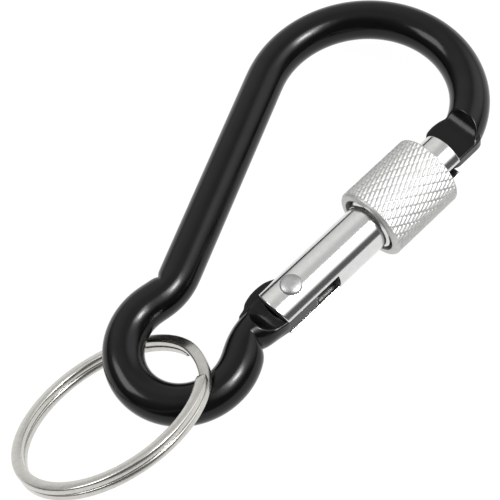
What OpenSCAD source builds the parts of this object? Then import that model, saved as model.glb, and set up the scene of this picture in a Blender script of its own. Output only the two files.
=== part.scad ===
// Carabiner keyring with a sprung gate, a screw sleeve and a split ring.
// Millimetres. Lies on its side: +X out through the gate, +Y along the gate to its nose, +Z up.

/* [Bar] */
// bar diameter
bar_d = 6; // [4:0.1:10]
// radius of the bend between the hinge and the small eye
hinge_bend_r = 9; // [4:0.1:20]
// turn of the bend between the hinge and the small eye
hinge_bend_a = 33; // [10:0.5:60]
// radius of the small eye, at the middle of the bar
eye_r = 8.6; // [6:0.1:20]
// turn of the small eye
eye_a = 226.7; // [180:0.1:280]
// radius of the bend between the small eye and the spine
waist_r = 8.1; // [4:0.1:20]
// length of the straight spine
spine_len = 35.1; // [10:0.1:80]
// radius of the first part of the big hook
hook_r1 = 15.9; // [8:0.1:30]
// turn of the first part of the big hook
hook_a1 = 150.5; // [90:0.5:180]
// radius of the second part of the big hook
hook_r2 = 13.8; // [8:0.1:30]
// turn of the second part of the big hook
hook_a2 = 49.1; // [10:0.1:90]
// radius of the last bend at the nose
nose_bend_r = 4.1; // [2:0.1:10]

/* [Pressed ends] */
// thickness of the flat tang
tang_t = 2.8; // [2:0.1:2.9]
// thickness of the flat tongue
tongue_t = 2.1; // [1.6:0.1:2.9]
// radius of the hollow where a flat runs out into the round bar
runout_r = 3.2; // [2.4:0.1:6]
// hinge pin to the end of the tang's flats
tang_flat = 4.7; // [4:0.1:8]
// height of the tang over the hinge pin
tang_top = 2.6; // [1.5:0.1:5]
// offset of the cam's centre from the hinge pin, to the inside
cam_e = 0.4; // [0:0.1:1]
// hinge pin to the tongue's tip
tongue_tip = 29.6; // [28.7:0.1:30.2]
// hinge pin to the end of the tongue's flats
tongue_flat = 34.4; // [32:0.1:38]

/* [Gate] */
// gate tube diameter
gate_d = 7.2; // [5:0.1:12]
// hinge pin to the lower end of the tube
gate_low = 4.3; // [3:0.1:4.6]
// radius of the rounded lower end, seen from above
ear_r = 10.6; // [6:0.1:30]
// hinge pin to the upper end of the tube
gate_high = 31.3; // [29:0.1:40]
// width of the slots at both ends
slot_w = 3.1; // [3:0.1:4]
// hinge pin to the end of the lower slot
hinge_slot_top = 6; // [3:0.1:10]
// hinge pin to the end of the upper slot
nose_slot_low = 26; // [20:0.1:40]
// bore for the spring
bore_d = 4.4; // [2:0.1:6]
// hinge pin to the end of the bore
bore_top = 23.4; // [12:0.1:30]
// diameter over the thread
thread_d = 7.8; // [6:0.1:12]
// hinge pin to the start of the thread
thread_low = 15.2; // [8:0.1:20]
// length of the thread
thread_len = 7.8; // [3:0.1:15]

/* [Rivet] */
// shaft diameter
pin_d = 1.8; // [1:0.05:3]
// hole in the tang
tang_hole_d = 1.9; // [1:0.05:3.2]
// head diameter
head_d = 3.25; // [2:0.05:5]
// top of the head over the middle plane
head_z = 4.15; // [3.5:0.05:6]
// depth of the seat under the head, over the middle plane
seat_z = 3.1; // [2.5:0.05:5]

/* [Spring and plunger] */
// plunger diameter
plunger_d = 4.1; // [2:0.1:5]
// plunger length
plunger_len = 6.4; // [3:0.1:12]
// spring wire diameter
wire_d = 0.5; // [0.3:0.05:1]
// spring outer diameter
spring_d = 4; // [2:0.1:5]
// number of turns
turns = 9; // [4:1:20]

/* [Sleeve] */
// sleeve diameter
sleeve_d = 11.5; // [8:0.1:16]
// sleeve length
sleeve_len = 12.7; // [6:0.1:13]
// hinge pin to the sleeve's lower end
sleeve_low = 15.3; // [8:0.1:15.4]
// edge chamfer
sleeve_c = 0.6; // [0.2:0.1:1.5]
// bore over the thread
sleeve_bore = 8.2; // [8:0.1:9.4]
// depth of the wider bore at the sleeve's lower end
sleeve_recess = 2.5; // [0.4:0.1:5]

/* [Split ring] */
// middle diameter of the coil
ring_d = 28.4; // [20:0.1:50]
// width of the wire, along the radius
ring_w = 1.6; // [0.8:0.1:3]
// height of one turn
ring_h = 1.05; // [0.5:0.05:2]
// opening between the two wire ends
ring_gap = 36; // [6:1:60]
// where the wire ends lie round the ring
ring_gap_at = 258; // [0:1:360]
// lean of the ring from lying flat
ring_lean = 33.45; // [0:0.05:90]
// way in which the ring leans
ring_way = 172.4; // [0:0.1:360]

/* [Hidden] */
$fn = 96;
// hinge pin in the part's frame
pin_x = 13.19;
pin_y = -1.89;
mid_z = 7.42;
// middle of the split ring from the hinge pin
ring_c = [-5.2, -30, 1.6];
br = bar_d / 2;
gr = gate_d / 2;
nose_bend_a = 5.7;
// joint line between two sections of the bar
seam = 0.02;
waist_a = eye_a - hinge_bend_a + hook_a1 + hook_a2 + nose_bend_a - 360;

module at_pin() {
  translate([pin_x, pin_y, mid_z]) children();
}

// bends and straights of the bar from the hinge round to the nose:
// [radius, turn], with the turn clockwise seen from above, or [0, length]
RUN = [
  [hinge_bend_r, -hinge_bend_a],
  [eye_r, eye_a],
  [waist_r, -waist_a],
  [0, spine_len],
  [hook_r1, hook_a1],
  [hook_r2, hook_a2],
  [nose_bend_r, nose_bend_a]
];

// [x, y, heading] at the end of a section; heading 0 is along -Y
function step_on(p, s) =
  s[0] == 0
  ? [p[0] - s[1] * sin(p[2]), p[1] - s[1] * cos(p[2]), p[2]]
  : let (
      r = s[1] > 0 ? s[0] : -s[0],
      c = [p[0] - r * cos(p[2]), p[1] + r * sin(p[2])],
      h = p[2] + s[1]
    ) [c[0] + r * cos(h), c[1] - r * sin(h), h];

// sections stand a hair apart, on a core that joins them
function start_of(i) =
  i == 0
  ? [0, -6.5, 0]
  : step_on(step_on(start_of(i - 1), RUN[i - 1]), [0, seam]);

module section(i) {
  p = start_of(i);
  s = RUN[i];
  translate([p[0], p[1], 0])
    rotate([0, 0, -p[2]]) {
      if (i > 0) {
        translate([0, 0.3, 0]) rotate([90, 0, 0]) cylinder(r = br - seam, h = 0.6);
      }
      if (s[0] == 0) {
        rotate([90, 0, 0]) cylinder(r = br, h = s[1]);
      }
      if (s[0] > 0 && s[1] > 0) {
        translate([-s[0], 0, 0])
          rotate([0, 0, -s[1]])
            rotate_extrude(angle = s[1]) translate([s[0], 0]) circle(r = br);
      }
      if (s[0] > 0 && s[1] < 0) {
        translate([s[0], 0, 0])
          rotate([0, 0, 180])
            rotate_extrude(angle = -s[1]) translate([s[0], 0]) circle(r = br);
      }
    }
}

module bar() {
  for (i = [0:len(RUN) - 1]) section(i);
}

// outline of the pressed tang: cam at the inside, square shoulder at the outside
module tang_outline() {
  difference() {
    union() {
      translate([-cam_e, 0]) circle(r = tang_top);
      polygon([
        [-cam_e, tang_top],
        [2.3, tang_top],
        [3, 1.9],
        [3.05, -4.2],
        [2.5, -6.6],
        [2.1, -8],
        [-2.85, -8],
        [-3.04, -7.3],
        [-3.2, -6.6],
        [-3.65, -6.1],
        [-3.95, -5.4],
        [-4.2, -4.3],
        [-4.25, -3.1],
        [-4.1, -1.7],
        [-3.6, -0.6],
        [-cam_e - 2.55, 0.5],
        [-cam_e, 0.5]
      ]);
    }
    circle(d = tang_hole_d);
  }
}

// outline of the tongue: bulges to the inside, its inner corner cut back
module tongue_outline() {
  polygon([
    [2.3, 36.8],
    [2.6, 36.3],
    [2.7, 35.6],
    [2.7, tongue_tip + 2.1],
    [2.5, tongue_tip + 1.5],
    [1.2, tongue_tip],
    [-0.2, tongue_tip],
    [-2.7, 30.4],
    [-3.3, 30.8],
    [-3.6, 31.3],
    [-4, 31.8],
    [-4.15, 32.5],
    [-4.2, 33.4],
    [-4.1, 34.4],
    [-3.8, 35.5],
    [-3.3, 36.4]
  ]);
}

// space over both faces of a flat that is t thick; it begins at y = 0 and
// runs to y = len, and a hollow leads from its start into the round bar
module over_flat(t, len) {
  for (side = [0, 1])
    mirror([0, 0, side]) {
      translate([-8, 0, t / 2]) cube([16, len, 6]);
      translate([-8, 0, t / 2 + runout_r]) rotate([0, 90, 0]) cylinder(r = runout_r, h = 16);
    }
}

module carabiner_body() {
  color([0.08, 0.08, 0.09])
    at_pin() {
      difference() {
        bar();
        translate([0, -tang_flat, 0]) over_flat(tang_t, 12);
        translate([0, tongue_flat, 0]) mirror([0, 1, 0]) intersection() {
          over_flat(tongue_t, 12);
          translate([-5.4, -8, -8]) cube([13.4, 24, 16]);
        }
        // fold in the outer side of the hinge bend
        translate([0, 0, -4])
          linear_extrude(8)
            polygon([
              [1.9, -8.6],
              [2.5, -7.8],
              [5, -7],
              [5, -9.9],
              [3.9, -9.7],
              [2.9, -9.1]
            ]);
      }
      translate([0, 0, -tang_t / 2]) linear_extrude(tang_t) tang_outline();
      translate([0, 0, -tongue_t / 2]) linear_extrude(tongue_t) tongue_outline();
    }
}

module gate_tube() {
  color([0.8, 0.8, 0.82])
    at_pin()
      difference() {
        union() {
          intersection() {
            translate([0, -gate_low, 0])
              rotate([-90, 0, 0]) cylinder(d = gate_d, h = gate_low + gate_high);
            union() {
              translate([0, ear_r - gate_low, -6]) cylinder(r = ear_r, h = 12);
              translate([-6, ear_r - gate_low - 2, -6]) cube([12, gate_high, 12]);
            }
          }
          translate([0, thread_low, 0])
            rotate([-90, 0, 0]) cylinder(d = thread_d, h = thread_len);
        }
        // spring bore
        translate([0, -gate_low - 1, 0])
          rotate([-90, 0, 0]) cylinder(d = bore_d, h = gate_low + 1 + bore_top);
        // slot over the tang
        translate([-5, -gate_low - 1, -slot_w / 2]) cube([10, gate_low + 1 + hinge_slot_top, slot_w]);
        // slot for the tongue
        translate([-5, nose_slot_low, -slot_w / 2]) cube([10, 8, slot_w]);
        // rivet hole and the seats of its heads
        translate([0, 0, -5]) cylinder(d = pin_d, h = 10);
        translate([0, 0, seat_z]) cylinder(d = head_d, h = 2);
        translate([0, 0, -seat_z - 2]) cylinder(d = head_d, h = 2);
      }
}

// half of the rivet: shaft to the middle plane and a domed head
module half_rivet() {
  rise = head_z - seat_z - 0.55;
  dome = (head_d * head_d / 4 + rise * rise) / (2 * rise);
  cylinder(d = pin_d, h = seat_z + 0.1);
  translate([0, 0, seat_z]) cylinder(d = head_d, h = 0.55);
  intersection() {
    translate([0, 0, head_z - dome]) sphere(r = dome);
    translate([0, 0, seat_z + 0.5]) cylinder(d = head_d, h = 2);
  }
}

module hinge_rivet() {
  color([0.7, 0.7, 0.72])
    at_pin() {
      half_rivet();
      mirror([0, 0, 1]) half_rivet();
    }
}

// closed coil with round wire, its ends one wire inside its length
module coil(r, w, n, h) {
  steps = 20;
  sides = 6;
  total = n * steps;
  pts = [
    for (i = [0:total])
      for (k = [0:sides - 1])
        let (
          a = 360 * i / steps,
          b = 360 * k / sides,
          q = r + w / 2 * cos(b)
        )
        [q * cos(a), q * sin(a), w / 2 + (h - w) * i / total + w / 2 * sin(b)]
  ];
  sides_f = [
    for (i = [0:total - 1])
      for (k = [0:sides - 1])
        let (
          a = i * sides + k,
          b = i * sides + (k + 1) % sides
        )
        [a, b, b + sides, a + sides]
  ];
  start_f = [[for (k = [0:sides - 1]) sides - 1 - k]];
  end_f = [[for (k = [0:sides - 1]) total * sides + k]];
  polyhedron(points = pts, faces = concat(sides_f, start_f, end_f));
}

module gate_spring() {
  low = tang_top + 0.05 + plunger_len + 0.05;
  color([0.75, 0.75, 0.77])
    at_pin()
      translate([0, low, 0])
        rotate([-90, 0, 0])
          coil(spring_d / 2 - wire_d / 2, wire_d, turns, bore_top - 0.05 - low);
}

module spring_plunger() {
  color([0.4, 0.4, 0.4])
    at_pin()
      translate([0, tang_top + 0.05, 0])
        rotate([-90, 0, 0])
          difference() {
            cylinder(d = plunger_d, h = plunger_len);
            translate([0, 0, -1])
              difference() {
                cylinder(d = plunger_d + 1, h = 4.4);
                translate([-5, -slot_w / 2 + 0.15, -1]) cube([10, slot_w - 0.3, 8]);
              }
          }
}

module lock_sleeve() {
  color([0.85, 0.85, 0.86])
    at_pin()
      translate([0, sleeve_low, 0])
        rotate([-90, 0, 0])
          difference() {
            union() {
              cylinder(r1 = sleeve_d / 2 - sleeve_c, r2 = sleeve_d / 2, h = sleeve_c);
              translate([0, 0, sleeve_c]) cylinder(d = sleeve_d, h = sleeve_len - 2 * sleeve_c);
              translate([0, 0, sleeve_len - sleeve_c])
                cylinder(r1 = sleeve_d / 2, r2 = sleeve_d / 2 - sleeve_c, h = sleeve_c);
            }
            translate([0, 0, -1]) cylinder(d = sleeve_bore, h = sleeve_len + 2);
            translate([0, 0, -1]) cylinder(d = sleeve_bore + 0.9, h = sleeve_recess + 1);
          }
}

// a run of wire with broken edges
module turn_of_wire(z, from, run) {
  c = 0.22;
  translate([0, 0, z])
    rotate([0, 0, from])
      rotate_extrude(angle = run)
        translate([ring_d / 2, 0])
          polygon([
            [-ring_w / 2 + c, 0],
            [ring_w / 2 - c, 0],
            [ring_w / 2, c],
            [ring_w / 2, ring_h - c],
            [ring_w / 2 - c, ring_h],
            [-ring_w / 2 + c, ring_h],
            [-ring_w / 2, ring_h - c],
            [-ring_w / 2, c]
          ]);
}

module split_ring() {
  color([0.78, 0.78, 0.78])
    at_pin()
      translate(ring_c)
        rotate([0, ring_lean, ring_way])
          rotate([0, 0, ring_gap_at]) {
            turn_of_wire(0, ring_gap / 2, 360 - ring_gap);
            turn_of_wire(-ring_h, ring_gap / 2, 360 - ring_gap);
            turn_of_wire(-ring_h / 2, -ring_gap / 2 - 2, ring_gap + 4);
          }
}

carabiner_body();
gate_tube();
hinge_rivet();
gate_spring();
spring_plunger();
lock_sleeve();
split_ring();
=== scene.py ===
import math

import bmesh
import bpy
import numpy as np
from mathutils import Matrix, Vector


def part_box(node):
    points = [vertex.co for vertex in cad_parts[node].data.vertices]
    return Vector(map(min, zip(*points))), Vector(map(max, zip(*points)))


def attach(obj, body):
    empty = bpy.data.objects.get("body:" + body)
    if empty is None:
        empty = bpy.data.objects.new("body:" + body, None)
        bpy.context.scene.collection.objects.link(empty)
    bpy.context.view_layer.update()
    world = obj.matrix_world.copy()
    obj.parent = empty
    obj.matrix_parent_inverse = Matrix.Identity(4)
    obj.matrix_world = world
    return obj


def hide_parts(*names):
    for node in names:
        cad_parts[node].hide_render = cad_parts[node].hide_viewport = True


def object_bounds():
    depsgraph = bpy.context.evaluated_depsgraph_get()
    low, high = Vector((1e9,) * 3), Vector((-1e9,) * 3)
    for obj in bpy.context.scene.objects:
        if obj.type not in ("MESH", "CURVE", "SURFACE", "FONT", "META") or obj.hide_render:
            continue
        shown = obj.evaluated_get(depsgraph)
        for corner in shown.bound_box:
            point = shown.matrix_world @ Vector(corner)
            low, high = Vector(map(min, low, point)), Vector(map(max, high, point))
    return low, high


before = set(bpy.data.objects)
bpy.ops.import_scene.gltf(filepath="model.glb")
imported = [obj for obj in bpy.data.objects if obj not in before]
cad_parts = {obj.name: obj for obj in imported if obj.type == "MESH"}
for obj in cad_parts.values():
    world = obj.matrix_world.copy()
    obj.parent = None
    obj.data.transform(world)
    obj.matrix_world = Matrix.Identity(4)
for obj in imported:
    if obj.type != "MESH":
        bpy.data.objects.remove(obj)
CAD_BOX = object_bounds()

MM = 0.001
RIVET_LOW, RIVET_HIGH = (np.array(c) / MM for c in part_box("hinge_rivet"))
PIN = (RIVET_LOW + RIVET_HIGH) / 2


# ---------------------------------------------------------------- small tools

def smooth_min(a, b, k):
    """Smaller of two fields, blended over a width of k."""
    h = np.clip(0.5 + 0.5 * (b - a) / k, 0, 1)
    return b * (1 - h) + a * h - k * h * (1 - h)


def smooth_max(a, b, k):
    return -smooth_min(-a, -b, k)


def outline_distance(x, y, points):
    """Signed distance to a closed outline, negative inside."""
    best = np.full(np.shape(x), 1e9)
    inside = np.zeros(np.shape(x), bool)
    for (ax, ay), (bx, by) in zip(points, points[1:] + points[:1]):
        ex, ey = bx - ax, by - ay
        t = np.clip(((x - ax) * ex + (y - ay) * ey) / (ex * ex + ey * ey), 0, 1)
        best = np.minimum(best, np.hypot(x - ax - t * ex, y - ay - t * ey))
        crosses = (ay > y) != (by > y)
        with np.errstate(divide="ignore", invalid="ignore"):
            at = ax + (y - ay) * ex / (ey if ey else 1e-12)
        inside ^= crosses & (x < at)
    return np.where(inside, -best, best)


def make_object(name, points, faces, material, normals=None, angle=None):
    """Points are in mm from the hinge pin."""
    mesh = bpy.data.meshes.new(name)
    world = (np.asarray(points, float) + PIN) * MM
    mesh.from_pydata(world.tolist(), [], faces)
    mesh.update()
    work = bmesh.new()
    work.from_mesh(mesh)
    bmesh.ops.recalc_face_normals(work, faces=work.faces)
    work.to_mesh(mesh)
    work.free()
    obj = bpy.data.objects.new(name, mesh)
    bpy.context.collection.objects.link(obj)
    mesh.materials.append(material)
    mesh.polygons.foreach_set("use_smooth", [True] * len(mesh.polygons))
    if normals is not None:
        mesh.normals_split_custom_set_from_vertices([tuple(v) for v in normals])
    elif angle is not None:
        mesh.set_sharp_from_angle(angle=math.radians(angle))
    mesh.update()
    return obj


def grid_faces(rows, columns, wrap_rows=False):
    """Quads of a grid whose columns close on themselves."""
    faces = []
    last = rows if wrap_rows else rows - 1
    for i in range(last):
        a = i * columns
        b = ((i + 1) % rows) * columns
        for j in range(columns):
            k = (j + 1) % columns
            faces.append((a + j, b + j, b + k, a + k))
    return faces


def spun(profile, columns):
    """Points and quads of a closed profile [(radius, y)] turned round the gate's axis."""
    angles = np.arange(columns) * 2 * math.pi / columns
    points = [(r * math.cos(a), y, r * math.sin(a)) for r, y in profile for a in angles]
    return points, grid_faces(len(profile), columns, wrap_rows=True)


# ------------------------------------------------------------------ materials

def node_material(name):
    """New material with its node tree and its Principled shader."""
    material = bpy.data.materials.new(name)
    material.use_nodes = True
    tree = material.node_tree
    return material, tree, tree.nodes["Principled BSDF"]


def add(tree, kind, **values):
    """New node, with inputs or settings given by name."""
    node = tree.nodes.new(kind)
    for key, value in values.items():
        if key in node.inputs:
            node.inputs[key].default_value = value
        else:
            setattr(node, key.lower().replace(" ", "_"), value)
    return node


def coordinates(tree, scale=(1, 1, 1), rotation=(0, 0, 0)):
    """Object coordinates in mm, scaled."""
    where = add(tree, "ShaderNodeTexCoord")
    mapping = add(tree, "ShaderNodeMapping")
    mapping.inputs["Scale"].default_value = [1 / MM * s for s in scale]
    mapping.inputs["Rotation"].default_value = rotation
    tree.links.new(where.outputs["Object"], mapping.inputs["Vector"])
    return mapping.outputs["Vector"]


def noise(tree, vector, scale, detail=3.0, roughness=0.55):
    node = add(tree, "ShaderNodeTexNoise", Scale=scale, Detail=detail, Roughness=roughness)
    tree.links.new(vector, node.inputs["Vector"])
    return node.outputs["Fac"]


def ramp(tree, value, stops):
    node = add(tree, "ShaderNodeValToRGB")
    marks = node.color_ramp.elements
    while len(marks) < len(stops):
        marks.new(0.5)
    for mark, (position, colour) in zip(marks, stops):
        mark.position = position
        mark.color = (*colour, 1) if isinstance(colour, tuple) else (colour, colour, colour, 1)
    tree.links.new(value, node.inputs["Fac"])
    return node.outputs["Color"]


def spread(tree, value, low, high):
    """Value from 0 to 1 spread over low to high."""
    node = add(tree, "ShaderNodeMapRange")
    node.inputs["To Min"].default_value = low
    node.inputs["To Max"].default_value = high
    tree.links.new(value, node.inputs["Value"])
    return node.outputs["Result"]


def bump(tree, height, distance, strength=1.0, under=None):
    node = add(tree, "ShaderNodeBump", Strength=strength, Distance=distance * MM)
    tree.links.new(height, node.inputs["Height"])
    if under is not None:
        tree.links.new(under, node.inputs["Normal"])
    return node.outputs["Normal"]


def black_anodised():
    """Dyed satin coat: near black, with a faint cloud, a fine grain and uneven gloss."""
    material, tree, shader = node_material("black_anodised")
    where = coordinates(tree)
    cloud = noise(tree, where, 0.35, 4.0)
    grain = noise(tree, where, 9.0, 3.0)
    colour = ramp(tree, cloud, [(0.3, (0.0013, 0.0015, 0.0014)), (0.7, (0.0025, 0.0028, 0.0026))])
    tree.links.new(colour, shader.inputs["Base Color"])
    tree.links.new(spread(tree, cloud, 0.13, 0.21), shader.inputs["Roughness"])
    shader.inputs["Specular IOR Level"].default_value = 0.25
    ripple = noise(tree, where, 0.55, 2.0)
    soft = bump(tree, ripple, 0.02, 0.5)
    tree.links.new(bump(tree, grain, 0.0015, 0.5, soft), shader.inputs["Normal"])
    return material


def bright_metal(name, colour, darker, rough, along, depth=0.002):
    """Polished or drawn metal: faint streaks along one way, small marks, uneven gloss."""
    material, tree, shader = node_material(name)
    streaks = noise(tree, coordinates(tree, along), 6.0, 4.0, 0.6)
    marks = noise(tree, coordinates(tree), 1.4, 5.0, 0.65)
    shader.inputs["Metallic"].default_value = 1.0
    tree.links.new(ramp(tree, marks, [(0.3, darker), (0.62, colour)]), shader.inputs["Base Color"])
    tree.links.new(spread(tree, streaks, rough[0], rough[1]), shader.inputs["Roughness"])
    wide = bump(tree, marks, depth * 2.5, 0.35)
    tree.links.new(bump(tree, streaks, depth, 0.6, wide), shader.inputs["Normal"])
    return material


def paint_bore_shade(material, radius, level):
    """Darker metal nearer to the gate's axis than the given radius in mm: painted shade in a bore."""
    tree = material.node_tree
    shader = tree.nodes["Principled BSDF"]
    offset = add(tree, "ShaderNodeVectorMath", operation="SUBTRACT")
    tree.links.new(add(tree, "ShaderNodeTexCoord").outputs["Object"], offset.inputs[0])
    offset.inputs[1].default_value = Vector(PIN) * MM
    across = add(tree, "ShaderNodeVectorMath", operation="MULTIPLY")
    tree.links.new(offset.outputs[0], across.inputs[0])
    across.inputs[1].default_value = (1, 0, 1)
    reach = add(tree, "ShaderNodeVectorMath", operation="LENGTH")
    tree.links.new(across.outputs[0], reach.inputs[0])
    dim = add(tree, "ShaderNodeMapRange")
    dim.inputs["From Min"].default_value = (radius - 0.05) * MM
    dim.inputs["From Max"].default_value = radius * MM
    dim.inputs["To Min"].default_value = level
    dim.inputs["To Max"].default_value = 1
    tree.links.new(reach.outputs["Value"], dim.inputs["Value"])
    scaled = add(tree, "ShaderNodeVectorMath", operation="SCALE")
    tree.links.new(shader.inputs["Base Color"].links[0].from_socket, scaled.inputs[0])
    tree.links.new(dim.outputs["Result"], scaled.inputs["Scale"])
    tree.links.new(scaled.outputs[0], shader.inputs["Base Color"])


BLACK = black_anodised()
TUBE = bright_metal(
    "bright_aluminium", (0.69, 0.69, 0.68), (0.64, 0.64, 0.63), (0.10, 0.19), (1.6, 0.04, 1.6), depth=0.0005)
KNURL = bright_metal(
    "knurled_aluminium", (0.60, 0.60, 0.59), (0.52, 0.52, 0.51), (0.46, 0.58), (1, 1, 1), depth=0.001)
RIVET = bright_metal(
    "rivet_steel", (0.43, 0.43, 0.43), (0.34, 0.34, 0.34), (0.36, 0.48), (1, 1, 1), depth=0.006)
SPRING = bright_metal("spring_steel", (0.56, 0.56, 0.57), (0.45, 0.45, 0.46), (0.2, 0.32), (1, 1, 1))
# Near-black plunger colour: painted shade for the dark inside of the gate's slot.
PLUNGER_SHADE_DARK = bright_metal("plunger_steel", (0.10, 0.10, 0.10), (0.06, 0.06, 0.06), (0.3, 0.45), (1.4, 0.3, 1.4))
NICKEL = bright_metal(
    "nickel_steel", (0.60, 0.588, 0.555), (0.53, 0.52, 0.485), (0.18, 0.26), (0.5, 0.5, 0.5), depth=0.0004)
# Painted shade: the sleeve's bore and recess are darkened to 0.45 of their colour.
paint_bore_shade(KNURL, 4.65, 0.45)


# ------------------------------------------------------------- the bent bar

# half thickness of the flat tang and tongue, and radius of the hollow where a flat runs out
TANG_T, TONGUE_T, RUNOUT = 1.4, 1.05, 3.2
# where each flat begins, the tang's top and the tongue's tip, along the gate
TANG_FLAT, TONGUE_FLAT, TANG_TOP, TONGUE_TIP = -4.7, 34.4, 2.6, 29.6
BAR_R = 3.0
# creases on the bends' inner side: the one under the tang (along the gate) and the waist (along the bar)
TANG_CREASE, TANG_CREASE_DEEP = -8.55, 1.2
WAIST_CREASE, WAIST_CREASE_DEEP = 50.6, 0.62
# where the round bar gives way to the flat: its upper end at the tang, its lower end at the tongue
TANG_BAR_TOP, TONGUE_BAR_LOW = -3.8, 35.0
# how far along the bar the hinge end's and the nose end's shapes reach
HINGE_REACH, NOSE_REACH = 18, 16
# straights (0, length) and bends (radius, turn) of the bar, from the tang's top to the nose
RUN = [
    (0, TANG_TOP + 6.5), (9, -33), (0, 0.02), (8.6, 226.7), (0, 0.02), (8.1, -39), (0, 0.02),
    (0, 35.1), (0, 0.02), (15.9, 150.5), (0, 0.02), (13.8, 49.1), (0, 0.02), (4.1, 5.7), (0, 3.0),
]
# outlines of the tang and the tongue, seen from above
TANG = [
    (2.3, 2.6), (3.0, 1.9), (3.05, -4.2), (2.5, -6.6), (2.1, -8.0), (-2.85, -8.0),
    (-3.04, -7.3), (-3.2, -6.6), (-3.65, -6.1), (-3.95, -5.4), (-4.2, -4.3), (-4.25, -3.1),
    (-4.1, -1.7), (-3.6, -0.6), (-2.95, 0.5), (-2.4, 1.7), (-1.5, 2.4), (-0.4, 2.6),
]
TONGUE = [
    (2.3, 36.8), (2.6, 36.3), (2.7, 35.6), (2.7, 31.7), (2.5, 31.1), (1.2, 29.6),
    (-0.2, 29.6), (-2.7, 30.4), (-3.3, 30.8), (-3.6, 31.3), (-4.0, 31.8), (-4.15, 32.5),
    (-4.2, 33.4), (-4.1, 34.4), (-3.8, 35.5), (-3.3, 36.4),
]


def rounded(outline, times=2):
    """Cuts the outline's corners, a little at a time."""
    for _ in range(times):
        out = []
        for (ax, ay), (bx, by) in zip(outline, outline[1:] + outline[:1]):
            c = min(0.25, 0.25 / max(math.hypot(bx - ax, by - ay), 0.01))
            out += [(ax + (bx - ax) * c, ay + (by - ay) * c), (bx + (ax - bx) * c, by + (ay - by) * c)]
        outline = out
    return outline


TANG, TONGUE = rounded(TANG), rounded(TONGUE)


class Path:
    """Middle line of the bar: place and heading at any distance along it."""

    def __init__(self, run, top, soften=2.4, step=0.02):
        lengths = [a if r == 0 else r * math.radians(abs(a)) for r, a in run]
        turns = [0 if r == 0 else math.radians(a) for r, a in run]
        ends = np.concatenate([[0], np.cumsum(lengths)])
        heading = np.concatenate([[0], np.cumsum(turns)])
        self.length = ends[-1]
        self.s = np.arange(0, self.length + step, step)
        offsets = np.linspace(-soften / 2, soften / 2, 13)
        self.h = np.mean([np.interp(self.s + o, ends, heading) for o in offsets], axis=0)
        middle = (self.h[1:] + self.h[:-1]) / 2
        self.x = np.concatenate([[0], np.cumsum(-np.sin(middle) * step)])
        self.y = top + np.concatenate([[0], np.cumsum(-np.cos(middle) * step)])
        self.x -= self.x[-1] * np.clip(self.s / self.length, 0, 1)

    def at(self, s):
        x, y, h = (np.interp(s, self.s, v) for v in (self.x, self.y, self.h))
        return x, y, h

    def place(self, s, n):
        x, y, h = self.at(s)
        return x + n * np.cos(h), y - n * np.sin(h)


BAR_PATH = Path(RUN, TANG_TOP)


def over_flat(distance, z, half):
    """Positive outside the space milled away over a flat that begins at distance 0."""
    hollow = RUNOUT - np.hypot(distance, z - half - RUNOUT)
    return np.where(distance > 0, z - half, hollow)


def bar_solid(s, n, b):
    """Signed distance-like field of the bar with its pressed and milled ends."""
    x, y = BAR_PATH.place(s, n)
    rho = np.hypot(n, b)
    side = np.clip(n / np.maximum(rho, 1e-6), 0, 1)
    z = np.abs(b)
    near_hinge = s < HINGE_REACH
    width = np.where(y < TANG_CREASE, 0.5, 0.95)
    dent = TANG_CREASE_DEEP * side ** 1.3 * np.exp(-np.abs(y - TANG_CREASE) / width)
    fold = np.where(near_hinge, dent, 0)
    past = np.abs(s - (WAIST_CREASE + 0.9 * side))
    dent = WAIST_CREASE_DEEP * side ** 1.2 * np.exp(-past / 0.7)
    fold = fold + np.where(past < 6, dent, 0)
    bar = rho - (BAR_R - fold)
    # tang
    part = smooth_max(bar, y - TANG_BAR_TOP, 0.3)
    part = smooth_max(part, over_flat(y - TANG_FLAT, z, TANG_T), 0.22)
    slab = smooth_max(outline_distance(x, y, TANG), z - TANG_T, 0.3)
    hinge = smooth_min(part, slab, 0.25)
    # tongue
    part = smooth_max(bar, TONGUE_BAR_LOW - y, 0.8)
    part = smooth_max(part, over_flat(TONGUE_FLAT - y, z, TONGUE_T), 0.22)
    slab = smooth_max(outline_distance(x, y, TONGUE), z - TONGUE_T, 0.3)
    nose = smooth_min(part, slab, 0.25)
    return np.where(near_hinge, hinge, np.where(s > BAR_PATH.length - NOSE_REACH, nose, bar))


def stations():
    """Distances of the sections along the bar, closer where the shape changes."""
    total = BAR_PATH.length
    marks = [np.arange(0.05, 1.0, 0.12), np.arange(1.0, 6.3, 0.3), np.arange(6.3, 14.5, 0.085)]
    marks.append(np.arange(14.5, 49.0, 0.55))
    marks.append(np.arange(49.0, 53.6, 0.12))
    marks.append(np.arange(53.6, 88.5, 1.2))
    marks.append(np.arange(88.5, total - 10, 0.7))
    marks.append(np.arange(total - 10, total - 0.05, 0.085))
    return np.concatenate(marks)


def bar_angles():
    """Section angles, closer where the flats' edges lie."""
    t = np.linspace(0, 2 * math.pi, 2000, endpoint=False)
    corner = np.zeros_like(t)
    for a in (0.47, math.pi - 0.47, math.pi + 0.47, 2 * math.pi - 0.47):
        gap = np.abs((t - a + math.pi) % (2 * math.pi) - math.pi)
        corner += np.exp(-(gap / 0.16) ** 2)
    weight = np.cumsum(1 + 1.6 * corner)
    weight = weight / weight[-1]
    return np.interp(np.linspace(0, 1, 181)[:-1], weight, t)


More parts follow.
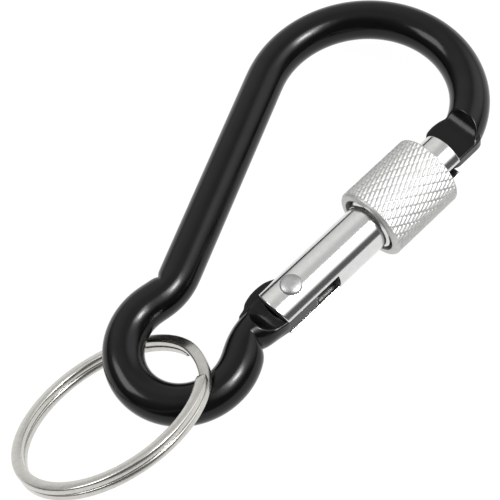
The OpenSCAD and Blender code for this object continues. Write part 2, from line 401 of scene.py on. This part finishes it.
def build_bar():
    """Skin of the bar: each section's radius is found by halving steps until it meets the solid's face."""
    s = stations()
    angle = bar_angles()
    S, A = np.meshgrid(s, angle, indexing="ij")
    _, y, _ = BAR_PATH.at(S)
    at_tip = S > BAR_PATH.length - 4
    shift = np.where(at_tip, 1.7 * np.clip((31.4 - y) / 1.7, 0, 1) ** 1.5, 0)
    low, high = np.zeros_like(S), np.full_like(S, 6.0)
    for _ in range(24):
        middle = (low + high) / 2
        inside = bar_solid(S, shift + middle * np.cos(A), middle * np.sin(A)) < 0
        low = np.where(inside, middle, low)
        high = np.where(inside, high, middle)
    radius = (low + high) / 2
    n, b = shift + radius * np.cos(A), radius * np.sin(A)
    x, y = BAR_PATH.place(S, n)
    _, _, h = BAR_PATH.at(S)
    e = 0.03
    curve = np.gradient(BAR_PATH.h, BAR_PATH.s)
    stretch = 1 + n * np.interp(S, BAR_PATH.s, curve)
    ds = (bar_solid(S + e, n, b) - bar_solid(S - e, n, b)) / (2 * e) / np.maximum(stretch, 0.2)
    dn = (bar_solid(S, n + e, b) - bar_solid(S, n - e, b)) / (2 * e)
    db = (bar_solid(S, n, b + e) - bar_solid(S, n, b - e)) / (2 * e)
    forward = np.stack([-np.sin(h), -np.cos(h), 0 * h], -1)
    across = np.stack([np.cos(h), -np.sin(h), 0 * h], -1)
    up = np.stack([0 * h, 0 * h, 1 + 0 * h], -1)
    normal = ds[..., None] * forward + dn[..., None] * across + db[..., None] * up
    normal /= np.linalg.norm(normal, axis=-1, keepdims=True) + 1e-12
    points = np.stack([x, y, b], -1).reshape(-1, 3)
    normals = normal.reshape(-1, 3)
    rows, columns = S.shape
    faces = grid_faces(rows, columns)
    first, last = len(points), len(points) + 1
    for end, row, way in ((first, 0, 1), (last, rows - 1, -1)):
        for j in range(columns):
            a, c = row * columns + j, row * columns + (j + 1) % columns
            faces.append((end, a, c) if way > 0 else (end, c, a))
    centres = np.array([points[:columns].mean(0), points[-columns:].mean(0)])
    points = np.vstack([points, centres])
    normals = np.vstack([normals, [[0, 1, 0], [0, -1, 0]]])
    obj = make_object("bent_bar", points, faces, BLACK, normals=normals)
    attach(obj, "frame")
    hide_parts("carabiner_body")


# ------------------------------------------------------------------ the gate

# tube radius, its two ends, and the radius that rounds its lower end
GATE_R, GATE_LOW, GATE_HIGH, EAR_R = 3.6, -4.3, 31.3, 10.6
# half width of both slots, where they stop, and the spring bore
SLOT, HINGE_SLOT_TOP, NOSE_SLOT_LOW, BORE_R = 1.55, 6.0, 26.0, 2.2
THREAD_LOW, THREAD_LEN, THREAD_R, THREAD_ROOT, THREAD_PITCH = 15.0, 8.0, 4.02, 3.56, 1.0
# radius of the slots' long edges and of the tube's end edges
EDGE_R, END_R = 0.12, 0.16


def ear(y_in, y_end, side, bore=0):
    """One side of a slotted tube end: flat towards the slot but for the bore, its end as y_end(x) says."""
    low = SLOT + EDGE_R
    cx = math.sqrt((GATE_R - EDGE_R) ** 2 - low ** 2)
    first = math.atan2(low, cx)
    arc = np.linspace(first, math.pi - first, 73)
    outline = [(GATE_R * math.cos(a), GATE_R * math.sin(a), math.cos(a), math.sin(a)) for a in arc]
    turn = [first + (-math.pi / 2 - first) * k / 6 for k in range(1, 6)]
    edge = [(cx + EDGE_R * math.cos(a), low + EDGE_R * math.sin(a), math.cos(a), math.sin(a)) for a in turn]
    left = [(-x, z, -nx, nz) for x, z, nx, nz in edge]
    right = edge[::-1]
    inner = [(max(-cx, min(cx, x)), max(SLOT, math.sqrt(max(0, bore ** 2 - x * x))), 0, -1)
             for x, _, _, _ in reversed(outline)]
    section = outline + left + inner + right
    way = 1 if y_in > y_end(0) else -1
    steps = [(t, 0, 0) for t in (0, 0.03, 0.25, 0.5, 0.75, 0.9)]
    steps += [(1, 0, END_R + 0.04)]
    for a in np.linspace(0, math.pi / 2, 5):
        steps.append((1, END_R * (1 - math.cos(a)), END_R * (1 - math.sin(a))))
    points = []
    for t, inset, back in steps:
        for x, z, nx, nz in section:
            y = y_in + t * (y_end(x) - y_in) + (way * back if t == 1 else 0)
            points.append((x - nx * inset, y, side * (z - nz * inset)))
    columns = len(section)
    faces = grid_faces(len(steps), columns)
    count, corner = len(outline), len(left)
    for base in (0, (len(steps) - 1) * columns):
        start = base + count + corner
        for i in range(count - 1):
            j = start + count - 1 - i
            faces.append((base + i, base + i + 1, j - 1, j))
        faces.append((base + count - 1, *range(base + count, start), start))
        faces.append((start + count - 1, *range(start + count, start + count + corner), base))
    return points, faces


def joined(parts):
    """Several closed shells as one list of points and one of faces."""
    points, faces = [], []
    for more, quads in parts:
        faces += [tuple(i + len(points) for i in face) for face in quads]
        points += more
    return points, faces


def build_thread():
    """Screw thread round the tube, running out at both ends."""
    columns = 96
    ys = np.arange(THREAD_LOW, THREAD_LOW + THREAD_LEN + 0.01, 0.1)
    points = []
    for y in ys:
        end = min(y - THREAD_LOW, THREAD_LOW + THREAD_LEN - y)
        for j in range(columns):
            a = 2 * math.pi * j / columns
            phase = ((y - THREAD_LOW) / THREAD_PITCH - j / columns) % 1
            tooth = np.clip(1.5 - 4.2 * abs(phase - 0.5), 0, 1)
            r = THREAD_ROOT + (THREAD_R - THREAD_ROOT) * tooth * np.clip(end / 0.35, 0, 1)
            points.append((r * math.cos(a), y, r * math.sin(a)))
    hidden_r = 3.3
    for y in (ys[-1], ys[0]):
        for j in range(columns):
            a = 2 * math.pi * j / columns
            points.append((hidden_r * math.cos(a), y, hidden_r * math.sin(a)))
    rows = len(ys) + 2
    return points, grid_faces(rows, columns, wrap_rows=True)


def build_gate():
    """Tube between the slots, two ears at each end, and the thread."""
    body = spun([
        (BORE_R, HINGE_SLOT_TOP), (3.44, HINGE_SLOT_TOP), (3.55, HINGE_SLOT_TOP + 0.05),
        (GATE_R, HINGE_SLOT_TOP + 0.16), (GATE_R, HINGE_SLOT_TOP + 0.2),
        (GATE_R, 9.0), (GATE_R, 12.0), (GATE_R, 20.0),
        (GATE_R, NOSE_SLOT_LOW - 0.2), (GATE_R, NOSE_SLOT_LOW - 0.16), (3.55, NOSE_SLOT_LOW - 0.05),
        (3.44, NOSE_SLOT_LOW), (0.02, NOSE_SLOT_LOW), (0.02, 23.6), (BORE_R, 23.2),
    ], 160)

    def low_end(x):
        return GATE_LOW + EAR_R - math.sqrt(EAR_R ** 2 - x * x)

    def high_end(x):
        return GATE_HIGH

    ears = [ear(HINGE_SLOT_TOP + 0.5, low_end, side, BORE_R) for side in (1, -1)]
    ears += [ear(NOSE_SLOT_LOW - 0.5, high_end, side) for side in (1, -1)]
    points, faces = joined([body] + ears + [build_thread()])
    tube = make_object("gate_tube_shell", points, faces, TUBE, angle=32)
    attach(tube, "gate")
    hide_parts("gate_tube")


def build_rivet():
    """Shaft and two domed heads, turned round Z."""
    columns = 72
    top = RIVET_HIGH[2] - PIN[2]
    shaft, seat, rim, head = 0.9, 3.0, 3.66, 1.62
    dome = [(shaft, seat), (head, seat), (head, seat + 0.1), (head, rim)]
    for i in range(1, 13):
        t = i / 12 * math.pi / 2
        dome.append((head * math.cos(t) ** 0.9, rim + (top - rim) * math.sin(t) ** 1.15))
    dome[-1] = (0.02, top)
    profile = [(r, -z) for r, z in reversed(dome)] + dome
    points = [(r * math.cos(2 * math.pi * j / columns), r * math.sin(2 * math.pi * j / columns), z)
              for r, z in profile for j in range(columns)]
    faces = grid_faces(len(profile), columns)
    faces.append(tuple(range(columns)))
    faces.append(tuple(range(len(points) - columns, len(points))))
    obj = make_object("rivet_domed", points, faces, RIVET, angle=50)
    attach(obj, "gate")
    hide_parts("hinge_rivet")


# ---------------------------------------------------------------- the sleeve

SLEEVE_LOW, SLEEVE_LEN, SLEEVE_R = 15.3, 12.7, 5.75
# bore over the thread, and the wider recess at the lower end
SLEEVE_BORE, RECESS_R, RECESS_DEEP = 4.1, 4.55, 2.5
# cuts of the knurl each way, their lean in degrees and their depth
FINE, FINE_LEAN, FINE_DEEP = 54, 25, 0.19
COARSE, COARSE_LEAN, COARSE_DEEP = 25, 30, 0.27


def build_sleeve():
    """Profile turned round the gate's axis, with two sets of crossing cuts pressed into it."""
    per_groove = 6
    columns = FINE * per_groove
    lean_fine, lean_coarse = math.tan(math.radians(FINE_LEAN)), math.tan(math.radians(COARSE_LEAN))
    low, high = SLEEVE_LOW, SLEEVE_LOW + SLEEVE_LEN
    rows = [(4.9, low, 0), (5.3, low + 0.01, 0), (5.48, low + 0.06, 0)]
    rows += [(5.6, low + 0.17, 0), (5.65, low + 0.32, 0)]
    ys = np.arange(low + 0.36, high - 0.2, 0.09)
    rows += [(SLEEVE_R, y, min(1, (y - low - 0.3) / 0.2, (high - 0.1 - y) / 0.2)) for y in ys]
    rows += [(5.62, high - 0.16, 0), (5.5, high - 0.06, 0), (5.3, high, 0)]
    rows += [(4.2, high, 0), (SLEEVE_BORE, high - 0.1, 0)]
    rows += [(SLEEVE_BORE, y, 0) for y in np.arange(high - 1.3, low + RECESS_DEEP + 0.3, -1.2)]
    rows += [(SLEEVE_BORE, low + RECESS_DEEP, 0), (4.5, low + RECESS_DEEP, 0)]
    rows += [(RECESS_R, low + RECESS_DEEP - 0.1, 0), (RECESS_R, low + 0.06, 0), (4.6, low, 0)]
    points = []
    for radius, y, amount in rows:
        twist = (y - low) * lean_fine / SLEEVE_R
        for j in range(columns):
            a = 2 * math.pi * j / columns + twist
            drop = 0.0
            if amount > 0:
                ridge = 0.5 + 0.5 * math.cos(2 * math.pi * (j % per_groove) / per_groove)
                phase = ((a + (y - low) * lean_coarse / SLEEVE_R) * COARSE / (2 * math.pi)) % 1
                gap = min(phase, 1 - phase)
                drop = -amount * max(FINE_DEEP * ridge, COARSE_DEEP * max(0, 1 - gap / 0.12))
            r = radius + drop
            points.append((r * math.cos(a), y, r * math.sin(a)))
    faces = grid_faces(len(rows), columns, wrap_rows=True)
    obj = make_object("knurled_sleeve", points, faces, KNURL, angle=75)
    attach(obj, "sleeve")
    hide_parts("lock_sleeve")


# ------------------------------------------------------------ the split ring

# ring centre from the pin, its lean and the way it leans, middle radius, wire width and height
RING_CENTRE = np.array([-5.2, -30.0, 1.6])
RING_LEAN, RING_WAY = math.radians(33.45), math.radians(172.4)
RING_R, WIRE_W, WIRE_H = 14.2, 1.6, 1.05


def wire_section():
    """Rounded, slightly crowned section: (across, up)."""
    r, apart = 0.27, 0.012
    out = []
    for sx, sy, a0 in ((1, 1, 0), (-1, 1, 90), (-1, -1, 180), (1, -1, 270)):
        for k in range(5):
            a = math.radians(a0 + 22.5 * k)
            up = sy * (WIRE_H / 2 - apart - r) + r * math.sin(a)
            out.append((sx * (WIRE_W / 2 - r) + r * math.cos(a), up))
    return out


def build_ring():
    """Wire in two turns that step over each other once, its cut ends a little drawn in."""
    turn = np.array(Matrix.Rotation(RING_WAY, 3, "Z") @ Matrix.Rotation(RING_LEAN, 3, "Y"))
    section = wire_section()
    start, end = 240.0, 277.0 - 720.0
    phis = np.arange(start, end, -2.0).tolist() + [end]
    points = []
    for phi in phis:
        t = np.clip((-83.0 - phi) / 37.0, 0, 1)
        t = t * t * (3 - 2 * t)
        lift = WIRE_H / 2 * (1 - 2 * t)
        near = min(abs(phi - start), abs(phi - end))
        shrink = 1 - 0.16 * max(0, 1 - near / 1.0) ** 2
        a = math.radians(phi)
        for across, up in section:
            r = RING_R + across * shrink
            local = np.array([r * math.cos(a), r * math.sin(a), lift + up * shrink])
            points.append(turn @ local + RING_CENTRE)
    columns = len(section)
    faces = grid_faces(len(phis), columns)
    faces.append(tuple(range(columns)))
    faces.append(tuple(range(len(points) - columns, len(points))))
    obj = make_object("split_ring_wire", points, faces, NICKEL, angle=50)
    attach(obj, "ring")
    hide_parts("split_ring")


build_bar()
build_gate()
build_rivet()
build_sleeve()
build_ring()
for node, material in (("gate_spring", SPRING), ("spring_plunger", PLUNGER_SHADE_DARK)):
    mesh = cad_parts[node].data
    mesh.materials.clear()
    mesh.materials.append(material)


# --------------------------------------------------------- floor, light, camera

def build_floor():
    """White paper that glows evenly, like an overlit studio table: it shows next to no shadow."""
    half = 2.5
    mesh = bpy.data.meshes.new("floor")
    z = CAD_BOX[0][2] - 0.00002
    corners = [(-half, -half, z), (half, -half, z), (half, half, z), (-half, half, z)]
    mesh.from_pydata(corners, [], [(0, 1, 2, 3)])
    floor = bpy.data.objects.new("floor", mesh)
    bpy.context.collection.objects.link(floor)
    material, tree, shader = node_material("floor_paper")
    fibres = noise(tree, coordinates(tree), 0.05, 2.0)
    tree.links.new(ramp(tree, fibres, [(0.3, 0.045), (0.7, 0.05)]), shader.inputs["Base Color"])
    shader.inputs["Roughness"].default_value = 0.9
    shader.inputs["Specular IOR Level"].default_value = 0.1
    shader.inputs["Emission Color"].default_value = (1, 1, 1, 1)
    shader.inputs["Emission Strength"].default_value = 0.97
    mesh.materials.append(material)


MIDDLE = Vector((0.0, 0.0, 0.007))
ROOM_LEVEL = 0.12
# diffusers: azimuth, elevation, inner and outer radius in degrees, and level
DIFFUSERS = (
    (125, 50, 45, 75, 0.42), (-150, 60, 20, 60, 0.2), (162, 28, 10, 45, 0.3),
    (74, 32, 8, 36, 1.1), (27, 52, 9, 28, 1.7),
)


def soft_light(name, azimuth, elevation, distance, size, radiance, lean=0):
    """Panel of light aimed at the object's middle, turned about its own axis by lean."""
    a, e = math.radians(azimuth), math.radians(elevation)
    way = Vector((math.cos(e) * math.cos(a), math.cos(e) * math.sin(a), math.sin(e)))
    data = bpy.data.lights.new(name, "AREA")
    data.shape = "RECTANGLE"
    data.size, data.size_y = size
    data.energy = radiance * math.pi * size[0] * size[1]
    light = bpy.data.objects.new(name, data)
    light.location = MIDDLE + way * distance
    aim = way.to_track_quat("Z", "Y").to_matrix() @ Matrix.Rotation(lean, 3, "Z")
    light.rotation_euler = aim.to_euler()
    bpy.context.collection.objects.link(light)


def build_world():
    """A dim room with soft diffusers round it."""
    world = bpy.data.worlds.new("room")
    bpy.context.scene.world = world
    world.use_nodes = True
    tree = world.node_tree
    background = tree.nodes["Background"]
    where = add(tree, "ShaderNodeTexCoord")

    def lobe(azimuth, elevation, inner, outer):
        a, e = math.radians(azimuth), math.radians(elevation)
        way = (math.cos(e) * math.cos(a), math.cos(e) * math.sin(a), math.sin(e))
        dot = add(tree, "ShaderNodeVectorMath", operation="DOT_PRODUCT")
        tree.links.new(where.outputs["Generated"], dot.inputs[0])
        dot.inputs[1].default_value = way
        shape = add(tree, "ShaderNodeMapRange", interpolation_type="SMOOTHSTEP")
        shape.inputs["From Min"].default_value = math.cos(math.radians(outer))
        shape.inputs["From Max"].default_value = math.cos(math.radians(inner))
        tree.links.new(dot.outputs["Value"], shape.inputs["Value"])
        return shape.outputs["Result"]

    total = None
    for *shape, level in DIFFUSERS:
        scaled = add(tree, "ShaderNodeMath", operation="MULTIPLY")
        tree.links.new(lobe(*shape), scaled.inputs[0])
        scaled.inputs[1].default_value = level
        if total is None:
            total = scaled.outputs[0]
        else:
            both = add(tree, "ShaderNodeMath", operation="ADD")
            tree.links.new(total, both.inputs[0])
            tree.links.new(scaled.outputs[0], both.inputs[1])
            total = both.outputs[0]
    last = add(tree, "ShaderNodeMath", operation="ADD")
    tree.links.new(total, last.inputs[0])
    last.inputs[1].default_value = ROOM_LEVEL
    tree.links.new(last.outputs[0], background.inputs["Color"])
    background.inputs["Strength"].default_value = 1.0


def build_camera():
    """Long lens from above the gate's outer side."""
    right = Vector((0.6900, 0.7128, -0.1256))
    back = Vector((0.4206, -0.2536, 0.8711)).normalized()
    up = back.cross(right).normalized()
    right = up.cross(back)
    turn = Matrix((right, up, back)).transposed()
    data = bpy.data.cameras.new("camera")
    data.sensor_width = 36.0
    data.lens = 103.37
    data.clip_start = 0.005
    camera = bpy.data.objects.new("camera", data)
    pin = Vector(PIN) * MM
    camera.matrix_world = Matrix.Translation(pin + Vector((0.07713, -0.05152, 0.18035))) @ turn.to_4x4()
    bpy.context.collection.objects.link(camera)
    bpy.context.scene.camera = camera


build_floor()
build_world()
KEY_LEAN = math.radians(-23)
soft_light("key", 30, 57, 0.5, (0.16, 0.25), 8.5, KEY_LEAN)
soft_light("key_core", 31, 56, 0.49, (0.075, 0.095), 40.0, KEY_LEAN)
soft_light("fill", -133, 46, 0.5, (0.24, 0.20), 5.6)
build_camera()
scene = bpy.context.scene
scene.view_settings.view_transform = "Standard"
scene.view_settings.look = "None"
